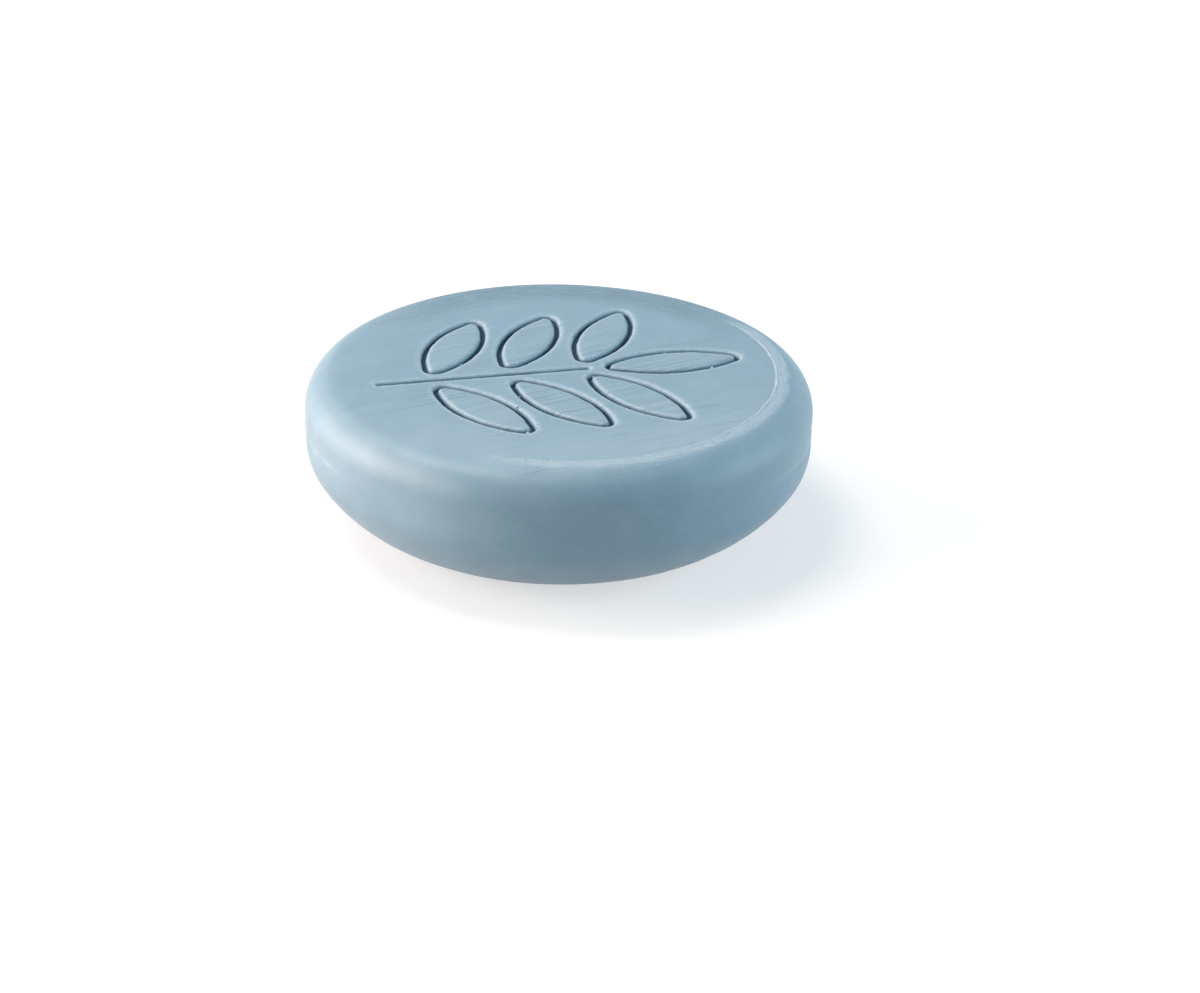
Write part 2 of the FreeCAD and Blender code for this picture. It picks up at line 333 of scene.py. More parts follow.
def leaf_line(size, foot, heading):
    """Points and outward directions along a leaf's closed line. The line turns one way only, so it is
    centre + radius * direction, with the centre and radius of whichever of its four arcs the direction is in:
    two long bows and two round tips, which touch without a corner."""
    half, rise = size.leaf_length / 2, size.leaf_width / 2
    reach = half - size.tip_radius
    bow = (reach ** 2 + rise ** 2 - size.tip_radius ** 2) / (2 * (rise - size.tip_radius))
    sink = bow - rise
    edge = math.atan2(sink, -reach)
    limits = np.array((math.pi - edge, edge, FULL_TURN - edge, math.pi + edge, 3 * math.pi - edge))
    radii = np.array((bow, size.tip_radius, bow, size.tip_radius))
    centres = np.array(
        ((half, -sink), (size.tip_radius, 0.0), (half, sink), (size.leaf_length - size.tip_radius, 0.0)))
    lengths = np.concatenate(((0.0,), np.cumsum(radii * np.diff(limits))))
    count = int(round(lengths[-1] / STEP_ALONG))
    run = np.arange(count) * lengths[-1] / count
    angle = np.interp(run, lengths, limits)
    arc = np.clip(np.searchsorted(lengths, run, side="right") - 1, 0, 3)
    away = directions(angle)
    points = centres[arc] + radii[arc, None] * away
    spin = np.array(((math.cos(heading), math.sin(heading)), (-math.sin(heading), math.cos(heading))))
    return points @ spin + np.array(foot), away @ spin


def leaf_distance(size, x, y, foot, heading):
    """Distance from a leaf's line, less than nothing inside it: a lens of two arcs grown by the tip radius."""
    across, along = x - foot[0], y - foot[1]
    u = np.abs(across * math.cos(heading) + along * math.sin(heading) - size.leaf_length / 2)
    v = np.abs(along * math.cos(heading) - across * math.sin(heading))
    half, rise = size.leaf_length / 2 - size.tip_radius, size.leaf_width / 2 - size.tip_radius
    bow = (half ** 2 + rise ** 2) / (2 * rise)
    sink = bow - rise
    beyond = (u - half) * sink > v * half
    return np.where(beyond, np.hypot(u - half, v), np.hypot(u, v + sink) - bow) - size.tip_radius


def sink_into_face(place, depth, turn):
    """The places (x, y) at the height of the face less that depth."""
    height = face_relief(place[..., 0], place[..., 1], turn) - depth
    return np.concatenate((place, height[..., None]), axis=-1)


def carry(points, away, closed, seed, size, turn):
    """The cut's profile carried along a line. Row i is points[i] + offset * away[i] for each offset across.
    The line's width, depth and place vary a little, but not at the ends of a line that isn't closed."""
    offsets = np.concatenate((-ACROSS[:0:-1], ACROSS))
    order = np.arange(len(points))
    lap = order * FULL_TURN / len(points)
    ends = 1.0 if closed else smooth(np.minimum(order, order[::-1]), 0, ENDS_AFTER)
    swell = LINE_SWELL * ripple(lap, (2, 5, 9, 14), seed) + LINE_JITTER * ripple(lap, (23, 37, 51), seed + 1)
    width = size.line_width * (1 + swell * ends)
    depth = size.line_depth * (1 + DEPTH_SWELL * ripple(lap, (1, 4, 7), seed + 2) * ends)
    shift = LINE_WANDER * ripple(lap, (3, 6, 11, 17), seed + 3) * ends
    middle = points + shift[:, None] * away
    place = middle[:, None, :] + offsets[None, :, None] * away[:, None, :]
    share = cut_depth(offsets[None, :], width[:, None], INNER_SHOULDER if closed else 1.0)
    return sink_into_face(place, depth[:, None] * share, turn), share


def grid_faces(rows, columns, closed, flip=False):
    """Corner numbers of the quads of a grid, the last row joined to the first where it is closed."""
    last = rows if closed else rows - 1
    row, column = np.meshgrid(np.arange(last), np.arange(columns - 1), indexing="ij")
    after = (row + 1) % rows
    corners = np.stack((row * columns + column, after * columns + column,
                        after * columns + column + 1, row * columns + column + 1), axis=-1).reshape(-1, 4)
    return corners[:, ::-1] if flip else corners


class Shell:
    """Patches of one closed surface, gathered before they are welded."""

    def __init__(self):
        self.places, self.faces, self.cuts, self.total = [], [], [], 0

    def add(self, places, faces, cut=0.0):
        """Adds a patch: its places, its faces' corner numbers, and how deep in a cut each place lies."""
        places = np.reshape(places, (-1, 3))
        self.places.append(places)
        self.cuts.append(np.broadcast_to(np.reshape(cut, -1), len(places)))
        self.faces.extend((faces + self.total).tolist())
        self.total += len(places)


def carve_leaves(shell, size, turn):
    """Adds the strip of each leaf's line, and returns the strips' outer and inner outlines."""
    outlines = []
    for number, (foot, heading) in enumerate(leaf_places(size)):
        points, away = leaf_line(size, foot, heading)
        strip, share = carry(points, away, True, LEAF_SEED + 10 * number, size, turn)
        shell.add(strip, grid_faces(*strip.shape[:2], True), share)
        outlines += [strip[:, -1, :2], strip[:, 0, :2]]
    return outlines


def carve_stem(shell, size, turn):
    """Adds the strip of the stem and the half round that ends the cut at its foot and its top, and returns
    the outline round all three."""
    foot, top = stem_ends(size)
    count = int(round((top - foot) / STEP_ALONG)) + 1
    points = np.stack((np.linspace(foot, top, count), np.zeros(count)), axis=1)
    strip, share = carry(points, np.tile((0.0, 1.0), (count, 1)), False, STEM_SEED, size, turn)
    shell.add(strip, grid_faces(*strip.shape[:2], False, flip=True), share)
    caps = []
    for end, start in ((foot, UP), (top, -UP)):
        angle = start + np.linspace(0.0, math.pi, CAP_POINTS)
        place = np.array((end, 0.0)) + ACROSS[None, :, None] * directions(angle)[:, None, :]
        share = np.broadcast_to(cut_depth(ACROSS, size.line_width), place.shape[:2])
        cap = sink_into_face(place, size.line_depth * share, turn)
        shell.add(cap, grid_faces(*cap.shape[:2], False, flip=True), share)
        caps.append(place[1:-1, -1, :])
    return np.concatenate((strip[:, -1, :2], caps[1][::-1], strip[::-1, 0, :2], caps[0][::-1]))[::-1]


# The face between the lines

PANEL_EDGE = 31.2 * MM
FACE_GRID = 0.58 * MM
NET_INSIDE, NET_TOLERANCE = 1, 1e-9


def fill_face(shell, size, sprig, turn):
    """The flat of the face: a triangle net over a grid of points, the ring at the panel's edge and the
    outlines of the cut lines. A triangle is kept where it lies in an odd number of these loops, so the net
    covers the face outside and inside a leaf, and leaves the strips of the lines open."""
    outlines = carve_leaves(shell, sprig, turn) + [carve_stem(shell, sprig, turn)]
    angle = np.arange(size.segments) * FULL_TURN / size.segments
    ring = PANEL_EDGE * directions(angle)
    side = np.arange(-PANEL_EDGE, PANEL_EDGE, FACE_GRID)
    x, y = np.meshgrid(side, side)
    x[::2] += FACE_GRID / 2
    x, y = x.ravel(), y.ravel()
    clear = BAND_HALF + 0.35 * FACE_GRID
    keep = np.hypot(x, y) < PANEL_EDGE - 0.4 * FACE_GRID
    for foot, heading in leaf_places(sprig):
        keep &= np.abs(leaf_distance(sprig, x, y, foot, heading)) > clear
    keep &= stem_distance(sprig, x, y) > clear
    loops = [ring] + outlines
    starts = np.concatenate(((0,), np.cumsum([len(loop) for loop in loops])))
    polygons = [list(range(start, end)) for start, end in zip(starts[:-1], starts[1:])]
    flat = np.concatenate(loops + [np.stack((x[keep], y[keep]), axis=1)])
    net, _, triangles, _, _, inside = delaunay_2d_cdt(
        [Vector(place) for place in flat], [], polygons, NET_INSIDE, NET_TOLERANCE)
    kept = np.array([len(owners) % 2 == 1 for owners in inside])
    places = np.array([tuple(place) for place in net])
    height = face_relief(places[:, 0], places[:, 1], turn)
    shell.add(np.column_stack((places, height)), np.array(triangles)[kept])


# The rim, the side and the base

FACE_ROWS, FIBRE_ROWS, SHOULDER_ROWS, BAND_ROWS, KNEE_ROWS, BELLY_ROWS, BASE_ROWS = 12, 14, 12, 14, 5, 11, 5
FIBRE_ANGLE = math.radians(24)
EDGE_RUN = 4.5 * MM
SCRAPE_REACH, SCRAPE_DEPTH, SCRAPE_FIBRES = 1.9 * MM, 0.045 * MM, 0.022 * MM
FIBRE_CELL = 0.28 * MM
RIDGE_WANDER = 0.12 * MM
CREASE_DEPTH, CREASE_REACH, CREASE_CELL = 0.20 * MM, 1.5 * MM, 0.9 * MM
SIDE_SWELL, SIDE_GRAIN, SIDE_INSET = 0.045 * MM, 0.014 * MM, 0.05 * MM
SLOW_CELL, FINE_CELL = 7 * MM, 2.2 * MM


def section(size):
    """Half of the upright section from the panel's edge to the middle of the base, as places and outward
    directions. An arc is centre + radius * (cos angle, sin angle), and neighbours touch without a corner."""
    girth = size.diameter / 2
    shoulder = (girth - size.shoulder_radius, size.height - size.shoulder_radius)
    knee = (girth - size.knee_radius, shoulder[1] - size.band_height)
    reach = math.sqrt((size.belly_radius - size.knee_radius) ** 2 - (size.belly_radius - knee[1]) ** 2)
    belly = (knee[0] - reach, size.belly_radius)
    bend = -math.atan2(size.belly_radius - knee[1], reach)

    def arc(centre, radius, start, end, rows, power=1.0):
        """Rows along an arc, closer together at its start where the power is more than 1."""
        angle = start + (end - start) * np.linspace(0.0, 1.0, rows + 1)[1:] ** power
        away = directions(angle)
        return np.array(centre) + radius * away, away

    def straight(start, end, angle, shares):
        """Rows on a straight line that faces that angle."""
        places = np.array(start) + shares[:, None] * (np.array(end) - np.array(start))
        return places, np.tile((math.cos(angle), math.sin(angle)), (len(places), 1))

    even = np.linspace(-1.0, 1.0, BAND_ROWS + 1)[1:]
    dense = 0.5 + 0.5 * np.sign(even) * np.abs(even) ** 1.7
    parts = (
        straight((PANEL_EDGE, size.height), (shoulder[0], size.height), UP, np.linspace(0, 1, FACE_ROWS + 1)),
        arc(shoulder, size.shoulder_radius, UP, UP - FIBRE_ANGLE, FIBRE_ROWS, 1.4),
        arc(shoulder, size.shoulder_radius, UP - FIBRE_ANGLE, 0.0, SHOULDER_ROWS),
        straight((girth, shoulder[1]), (girth, knee[1]), 0.0, dense),
        arc(knee, size.knee_radius, 0.0, bend, KNEE_ROWS),
        arc(belly, size.belly_radius, bend, -UP, BELLY_ROWS),
        straight((belly[0], 0.0), (0.0, 0.0), -UP, np.linspace(0, 1, BASE_ROWS + 1)[1:]),
    )
    return np.concatenate([part[0] for part in parts]), np.concatenate([part[1] for part in parts])


def scraped_share(bearing, run):
    """1 on the band below the lip that was scraped dry, down to a ragged edge."""
    ragged = SCRAPE_REACH + 0.35 * MM * ripple(bearing, (5, 11, 23, 41), seed=31)
    ragged = ragged + 0.18 * MM * ripple(bearing, (73, 119), seed=32)
    return lip_strength(bearing) * within(run, 0.0, 0.3 * MM, ragged - 0.7 * MM, ragged + 0.35 * MM)


def ridge_strength(bearing):
    """The parting ridge stands at the left and the right, and was wiped off at the front."""
    return 0.12 + 0.88 * smooth(np.abs(np.cos(bearing)), 0.72, 0.97)


def parting_height(size):
    """Where the two dies met: half way up the band."""
    return size.height - size.shoulder_radius - size.band_height / 2


def parting_relief(size, bearing, height):
    """The parting ridge, a low blade that wanders and varies, with creases above and below it."""
    above = height - parting_height(size)
    wander = RIDGE_WANDER * ripple(bearing, (4, 9, 21, 34), seed=41)
    blade = np.clip(1 - np.abs(above - wander) / (size.ridge_width / 2), 0.0, 1.0)
    ridge = size.ridge_height * blade * (0.75 + 0.25 * ripple(bearing, (47, 83, 131), seed=42))
    creases = CREASE_DEPTH * np.clip(ring_grain(bearing, above / CREASE_CELL, cells=90, seed=43), 0.0, 1.0)
    return ridge_strength(bearing) * (ridge - creases * np.exp(-(above / CREASE_REACH) ** 2))


def side_relief(size, places, away, angle, turn):
    """How far each row of the side lies off the section at each angle: the face's own relief carried over the
    edge, a scraped band below the lip, the parting ridge, and a slow unevenness."""
    radius, height = places[:, :1], places[:, 1:]
    bearing = wrapped(angle - turn)
    run = size.shoulder_radius * (UP - np.arctan2(away[:, 1:], away[:, :1]))
    face = face_relief(radius * np.cos(angle), radius * np.sin(angle), turn)
    slope = 2 * ROUND_DROP / (ROUND_END - ROUND_START)
    rounded = (1 - lip_strength(bearing)) * slope * run * np.exp(-(run / ROUND_RUN) ** 2)
    over = face * (1 - smooth(run, 0.0, EDGE_RUN)) - rounded
    fibres = ring_grain(bearing, run / FIBRE_CELL, cells=120, seed=33)
    scrape = scraped_share(bearing, run) * (SCRAPE_FIBRES * fibres - SCRAPE_DEPTH)
    slow = SIDE_SWELL * ring_grain(bearing, height / SLOW_CELL, cells=18, seed=44)
    fine = SIDE_GRAIN * ring_grain(bearing, height / FINE_CELL, cells=64, seed=45)
    body = (slow + fine - SIDE_INSET) * smooth(run, 1.5 * MM, 6 * MM) * smooth(height, 0.0, 3 * MM)
    flat = (height > size.height - 1e-9) & (away[:, 1:] > 0.5)
    return np.where(flat, face, over + scrape + parting_relief(size, bearing, height) + body)


def turn_side(shell, size, turn):
    """The section carried round the bar: x = r cos a and y = r sin a, with each row moved along its outward
    direction by the side's relief."""
    places, away = section(size)
    angle = (np.arange(size.segments) * FULL_TURN / size.segments)[None, :]
    off = side_relief(size, places, away, angle, turn)
    radius = places[:, :1] + away[:, :1] * off
    height = places[:, 1:] + away[:, 1:] * off
    radius[-1] = 0.0
    rings = np.stack((radius * np.cos(angle), radius * np.sin(angle), height - size.height), axis=-1)
    shell.add(rings.transpose(1, 0, 2), grid_faces(size.segments, len(places), True, flip=True))


# Crumbs

LUMP_ROUND, LUMP_ROWS = 9, 7
LIP_CRUMBS, LINE_CRUMBS = 64, 40
LEAST_CRUMB, MOST_CRUMB, BIG_CRUMB = 0.07 * MM, 0.14 * MM, 1.9
OFF_LIP, OFF_LIP_SPREAD = 0.04 * MM, 0.09 * MM
OFF_LINE_LEAST, OFF_LINE_MOST = 0.5 * MM, 0.75 * MM
SINK = 0.2


def crumb_places(sprig, turn):
    """Where the crumbs lie: along the lip, and beside the leaves' cut lines."""
    draw = np.random.default_rng(71)
    bearing = LIP_MIDDLE + (LIP_HALF + 0.3 * LIP_FADE) * draw.uniform(-1, 1, LIP_CRUMBS)
    radius = lip_radius(bearing) + draw.normal(OFF_LIP, OFF_LIP_SPREAD, LIP_CRUMBS)
    lip = radius[:, None] * directions(bearing + turn)
    leaves = leaf_places(sprig)
    lines = []
    for foot, heading in leaves:
        points, away = leaf_line(sprig, foot, heading)
        chosen = draw.integers(0, len(points), LINE_CRUMBS // len(leaves))
        side = draw.choice((-1.0, 1.0), len(chosen))
        offset = side * draw.uniform(OFF_LINE_LEAST, OFF_LINE_MOST, len(chosen))
        lines.append(points[chosen] + offset[:, None] * away[chosen])
    return np.concatenate([lip] + lines)


def make_lumps(shell, sprig, turn):
    """Crumb i is centre + (a cos u sin v, b sin u sin v, c cos v), its radii a, b and c dented by a seeded
    noise and turned about the upright. It is sunk a little into the face and stays below the rim's level."""
    centres = crumb_places(sprig, turn)
    draw = np.random.default_rng(72)
    count = len(centres)
    round_, rows = np.meshgrid(np.arange(LUMP_ROUND), np.arange(LUMP_ROWS), indexing="ij")
    u, v = round_ * FULL_TURN / LUMP_ROUND, rows * math.pi / (LUMP_ROWS - 1)
    unit = np.stack((np.cos(u) * np.sin(v), np.sin(u) * np.sin(v), np.cos(v)), axis=-1)
    size = draw.uniform(LEAST_CRUMB, MOST_CRUMB, count) * draw.choice((1.0, 1.0, 1.0, BIG_CRUMB), count)
    radii = size[:, None] * draw.uniform((0.8, 0.7, 0.5), (1.6, 1.1, 0.8), (count, 3))
    dents = 1 + 0.28 * grain(3 * unit[None, ..., 0] + 7.3 * np.arange(count)[:, None, None],
                             3 * unit[None, ..., 1] + 2 * unit[None, ..., 2] + 31.0, 73)
    lumps = unit[None] * radii[:, None, None, :] * dents[..., None]
    spin = draw.uniform(0, math.pi, count)[:, None, None]
    x = lumps[..., 0] * np.cos(spin) - lumps[..., 1] * np.sin(spin)
    y = lumps[..., 0] * np.sin(spin) + lumps[..., 1] * np.cos(spin)
    level = face_relief(centres[:, 0], centres[:, 1], turn) - SINK * radii[:, 2]
    places = np.stack((x + centres[:, 0, None, None], y + centres[:, 1, None, None],
                       lumps[..., 2] + level[:, None, None]), axis=-1)
    places[..., 2] = np.minimum(places[..., 2], 0.0)
    for lump in places:
        shell.add(lump, grid_faces(LUMP_ROUND, LUMP_ROWS, True))


# The mesh, and what the material has to know of each of its points

INNER_WEAR = 1.35
# Bearings of the painted light on the front of the face and of the side's stain with its painted highlight.
PAINTED_LIGHT_TOWARDS, STAIN_AND_HIGHLIGHT_FROM = math.radians(14), math.radians(40)


def store(mesh, name, values):
    """Keeps a number for each point of the mesh under that name, for the material to read."""
    mesh.attributes.new(name, "FLOAT", "POINT").data.foreach_set("value", values)


def make_mesh(name, shell, height):
    """One closed mesh of all patches, with the places that lie on each other welded."""
    places = np.concatenate(shell.places)
    places[:, 2] += height
    mesh = bpy.data.meshes.new(name)
    mesh.from_pydata(places.tolist(), [], shell.faces)
    store(mesh, "cut", np.concatenate(shell.cuts))
    work = bmesh.new()
    work.from_mesh(mesh)
    bmesh.ops.remove_doubles(work, verts=work.verts, dist=WELD)
    bmesh.ops.recalc_face_normals(work, faces=work.faces)
    loose = [edge for edge in work.edges if len(edge.link_faces) != 2]
    if loose:
        raise RuntimeError(f"{name} is not closed: {len(loose)} edges")
    work.to_mesh(mesh)
    work.free()
    mesh.polygons.foreach_set("use_smooth", np.ones(len(mesh.polygons), dtype=bool))
    mesh.update()
    return mesh


def surface_marks(x, y, z, sprig, size, turn):
    """Shares from 0 to 1, under the names that the material reads them by: scored inside a leaf, worn beside a
    cut line, the dry band of the lip and its crest, the seam of the dies, the rear of the face with its streaks
    and painted shade, the front of the face painted paler as painted light, and the film on the front left of
    the side, a stain that is partly a painted highlight."""
    radius, bearing, low = np.hypot(x, y), bearing_of(x, y, turn), size.height - z
    past, strength = radius - lip_radius(bearing), lip_strength(bearing)
    off = np.array([leaf_distance(sprig, x, y, foot, heading) for foot, heading in leaf_places(sprig)])
    nearest = np.minimum(stem_distance(sprig, x, y), np.where(off < 0, -INNER_WEAR * off, off).min(axis=0))
    # The rear of the face, painted darker: streaks round the rim, and painted shade.
    rear = smooth(np.sin(bearing), 0.35, 0.95) * smooth(radius, 25 * MM, 30 * MM)
    # The front of the face, painted paler towards the camera: painted light.
    front = smooth(-np.sin(bearing - PAINTED_LIGHT_TOWARDS), 0.0, 0.9) * smooth(radius, 12 * MM, 31 * MM)
    # The front left of the side, where the stain doubles as a painted highlight.
    film = smooth(-np.cos(bearing - STAIN_AND_HIGHLIGHT_FROM), 0.78, 1.0)
    return {
        "scored": smooth(-off.min(axis=0), 0.2 * MM, 0.9 * MM),
        "worn": (1 - smooth(nearest, 0.5 * MM, 1.5 * MM)) * (low < 2 * MM),
        "lip": strength * within(past, -0.12 * MM, 0.0, 1.2 * MM, 3.0 * MM) * (low < 4 * MM),
        "crest": strength * np.exp(-((past - 0.03 * MM) / (0.14 * MM)) ** 2) * (low < 1 * MM),
        "seam": ridge_strength(bearing) ** 2 * np.exp(-((z - parting_height(size)) / (0.45 * MM)) ** 2),
        "rear": rear * (1 - smooth(low, 1 * MM, 4 * MM)),
        "front": front * (1 - smooth(low, 0.2 * MM, 2.4 * MM)),
        "film": film * within(low, 0.6 * MM, 4 * MM, 8 * MM, 16 * MM),
    }


def mark_surface(mesh, sprig, size, turn):
    """Stores the marks of every point of the mesh."""
    places = np.empty(len(mesh.vertices) * 3)
    mesh.vertices.foreach_get("co", places)
    for name, values in surface_marks(*places.reshape(-1, 3).T, sprig, size, turn).items():
        store(mesh, name, values)


# Materials

WHITE = (1.0, 1.0, 1.0, 1.0)
STREAK_TURN, SCRATCH_TURN = math.radians(-29), 0.08
FACE_FROM, FACE_FULL = 22.4, 23.1
SCATTER = {"Subsurface Weight": 0.2, "Subsurface Radius": (0.9, 1.0, 1.1), "IOR": 1.5}
FLOOR_GLOW = 0.58


class Value:
    """One output socket. The signs of arithmetic on it add Math nodes."""

    def __init__(self, recipe, socket):
        self.recipe, self.socket = recipe, socket

    def __add__(self, other):
        return self.recipe.maths("ADD", self, other)

    def __sub__(self, other):
        return self.recipe.maths("SUBTRACT", self, other)

    def __rsub__(self, other):
        return self.recipe.maths("SUBTRACT", other, self)

    def __mul__(self, other):
        return self.recipe.maths("MULTIPLY", self, other)

    __radd__ = __add__
    __rmul__ = __mul__


class Recipe:
    """The nodes of a material or of the world."""

    def __init__(self, owner):
        owner.use_nodes = True
        self.owner, self.tree = owner, owner.node_tree
        self.tree.nodes.clear()

    def node(self, kind, settings, inputs, output=0):
        """Adds a node of that type, sets its settings, then fills or links its inputs."""
        node = self.tree.nodes.new(kind)
        for name, value in settings.items():
            setattr(node, name, value)
        for name, value in inputs.items():
            if isinstance(value, Value):
                self.tree.links.new(value.socket, node.inputs[name])
            else:
                node.inputs[name].default_value = value
        return Value(self, node.outputs[output]) if node.outputs else None

    def finish(self, shader, kind="ShaderNodeOutputMaterial"):
        """Sends the shader to the output, and returns the material or the world."""
        self.node(kind, {}, {"Surface": shader})
        return self.owner

    def maths(self, operation, *values):
        """A Math node on those values."""
        return self.node("ShaderNodeMath", {"operation": operation}, dict(enumerate(values)))

    def place(self):
        """The place in the object's own coordinates."""
        return self.node("ShaderNodeTexCoord", {}, {}, "Object")

    def mark(self, name):
        """The number that the mesh keeps under that name."""
        return self.node("ShaderNodeAttribute", {"attribute_name": name}, {}, "Fac")

    def noise(self, place, scale, detail=2.0, roughness=0.5, distortion=0.0):
        """Perlin noise from 0 to 1, with that many lumps in a unit of the place."""
        return self.node("ShaderNodeTexNoise", {}, {
            "Vector": place, "Scale": scale, "Detail": detail, "Roughness": roughness,
            "Distortion": distortion})

    def step(self, value, low, high):
        """0 below low and 1 above high, smoothly."""
        return self.node("ShaderNodeMapRange", {"interpolation_type": "SMOOTHSTEP"}, {
            "Value": value, "From Min": low, "From Max": high})

    def mix(self, share, first, second):
        """Colour first turned into second by that share, which is held between 0 and 1."""
        settings = {"data_type": "RGBA", "clamp_factor": True}
        return self.node("ShaderNodeMix", settings, {0: share, 6: first, 7: second}, 2)

    def mapped(self, place, turn=(0.0, 0.0, 0.0), scale=(1.0, 1.0, 1.0)):
        """The place turned and then scaled on each axis."""
        turned = self.node(
            "ShaderNodeVectorRotate", {"rotation_type": "EULER_XYZ"}, {"Vector": place, "Rotation": turn})
        return self.node("ShaderNodeVectorMath", {"operation": "MULTIPLY"}, {0: turned, 1: scale})

    def seen(self):
        """1 for a ray of the camera or of a reflection, and 0 for one that only brings light."""
        camera = self.node("ShaderNodeLightPath", {}, {}, "Is Camera Ray")
        glossy = self.node("ShaderNodeLightPath", {}, {}, "Is Glossy Ray")
        return self.maths("MAXIMUM", camera, glossy)


def with_alpha(colour):
    """The colour as a shader's socket takes it."""
    return (*colour, 1.0)


def soap_fields(recipe, turn):
    """The fields that the soap's colour and relief are made of, each from 0 to 1: the mesh's marks, noises of
    several sizes, streaks along one direction of the face, and fibres that run round the bar. Places are in
    millimetres, so a noise's scale is its lumps in a millimetre, but for one whose place is itself scaled."""
    noise, step = recipe.noise, recipe.step
    mm = recipe.mapped(recipe.place(), scale=(1 / MM, 1 / MM, 1 / MM))
    x, y, z = (recipe.node("ShaderNodeSeparateXYZ", {}, {0: mm}, axis) for axis in range(3))

    def streaked(scale, more=0.0):
        """The place turned so that its x runs along the streaks, and scaled."""
        return recipe.mapped(mm, turn=(0.0, 0.0, STREAK_TURN - turn + more), scale=scale)

    names = ("cut", "scored", "worn", "lip", "crest", "seam", "rear", "front", "film")
    field = SimpleNamespace(**{name: recipe.mark(name) for name in names})
    field.face = step(z, FACE_FROM, FACE_FULL)
    # The floor of a cut, where its shade is painted dark; it is also rougher there.
    field.bottom = step(field.cut, 0.42, 0.85)
    field.shallow = 1 - step(field.cut, 0.12, 0.4)
    field.mottle = noise(mm, 0.16, 4.0, 0.55)
    field.speckle = noise(mm, 1.1, 3.0, 0.6)
    field.satin = noise(mm, 5.5, 2.0, 0.6)
    field.crumbly = step(noise(mm, 2.6), 0.38, 0.6)
    field.flakes = step(noise(mm, 1.7, 2.0, 0.6), 0.44, 0.6)
    field.flakes *= step(noise(mm, 0.35), 0.3, 0.62)
    # Patchy stain with painted highlight on the front left of the side.
    field.stain_and_painted_highlight = field.film * (0.45 + step(noise(mm, 0.12), 0.3, 0.7) * 0.55)

    field.streaks = noise(streaked((0.05, 1.35, 0.4)), 1.0, 3.0, 0.6, 0.15)
    field.broad = noise(streaked((0.03, 0.55, 0.3)), 1.0)
    scratches = noise(streaked((0.03, 1.2, 0.4), SCRATCH_TURN), 1.0, 1.0)
    field.scratches = step(scratches, 0.69, 0.75) * field.face
    patches = step(noise(mm, 0.09), 0.42, 0.62)
    field.streaky = field.face * (0.12 + 0.28 * patches + 0.6 * field.scored)

    angle, radius = recipe.maths("ARCTAN2", y, x), recipe.maths("SQRT", x * x + y * y)
    rings = recipe.node("ShaderNodeCombineXYZ", {}, {0: angle * 9.0, 1: (radius - z) * 1.7})
    field.fibres = noise(rings, 1.0, 4.0, 0.65)
    field.dry = step(field.lip * 1.1 + field.fibres * 0.9, 0.8, 1.5)

    cell = {"Vector": mm, "Scale": 0.62, "Randomness": 1.0}
    near = recipe.node("ShaderNodeTexVoronoi", {}, cell)
    colour = recipe.node("ShaderNodeTexVoronoi", {}, cell, "Color")
    chance = recipe.node("ShaderNodeSeparateColor", {}, {0: colour})
    field.specks = (1 - step(near, 0.05, 0.11)) * step(chance, 0.72, 0.76) * field.face
    return field


def soap_colour(recipe, field, finish):
    """The body colour under layers, each a colour laid on by a share: the faint clouds and streaks darker and
    paler than the body, painted light on the front of the face, streaks and painted shade at its rear, the dry
    band, the torn crest, the seam, the film, partly a painted highlight, and painted shade in the bottoms of
    the cuts."""
    tone = (field.mottle - 0.5) * (0.45 - field.face * 0.21) + (field.speckle - 0.5) * 0.16
    line_tone = field.streaky * (field.streaks - 0.5) * 0.3
    # Streaks and painted shade at the rear of the face.
    rear = field.rear * (0.2 + (field.fibres - 0.5) * 0.9)
    worn = field.worn * field.shallow * (0.38 + field.crumbly * 0.4)
    # Dust, wear and specks, with painted light on the front of the face.
    dust_and_painted_light = field.front * 0.26 + field.scored * 0.12 + field.specks * 0.7 + worn
    layers = (
        (0.03 - tone * 0.6 - line_tone * 0.9 + rear + field.scratches * 0.1, finish.dark_tone_and_painted_shade),
        (tone * 0.8 + line_tone + dust_and_painted_light, finish.dry_soap_and_painted_light),
        (field.dry * (0.25 + field.fibres * 0.75), finish.dry_soap_and_painted_light),
        (field.crest * (0.12 + field.flakes * 0.75) + field.dry * field.flakes * 0.3, finish.crumb),
        (field.seam * (field.fibres * 1.6 - 0.45), finish.dry_soap_and_painted_light),
        # The stain on the side, partly a painted highlight.
        (field.stain_and_painted_highlight * 0.44, finish.stain_and_painted_highlight),
        # Painted shade in the floors of the cuts.
        (field.bottom, finish.dark_tone_and_painted_shade),
    )
    body = with_alpha(finish.soap)
    for share, colour in layers:
        body = recipe.mix(share, body, with_alpha(colour))
    return body


def soap_relief(recipe, field):
    """Fine relief in millimetres: streaks, scratches and specks on the face, fibres where it was scraped."""
    lines = field.streaky * (field.streaks * 0.42 + field.broad * 0.2) + field.rear * field.fibres * 0.2
    marks = field.specks * 0.05 - field.scratches * 0.05 + field.satin * 0.004 + field.speckle * 0.010
    torn = field.dry * (field.fibres * 0.13 + field.crumbly * 0.015) + field.crest * field.flakes * 0.12
    height = lines + marks + torn
    return recipe.node("ShaderNodeBump", {}, {"Height": height, "Distance": 1.0 * MM, "Strength": 1.0})


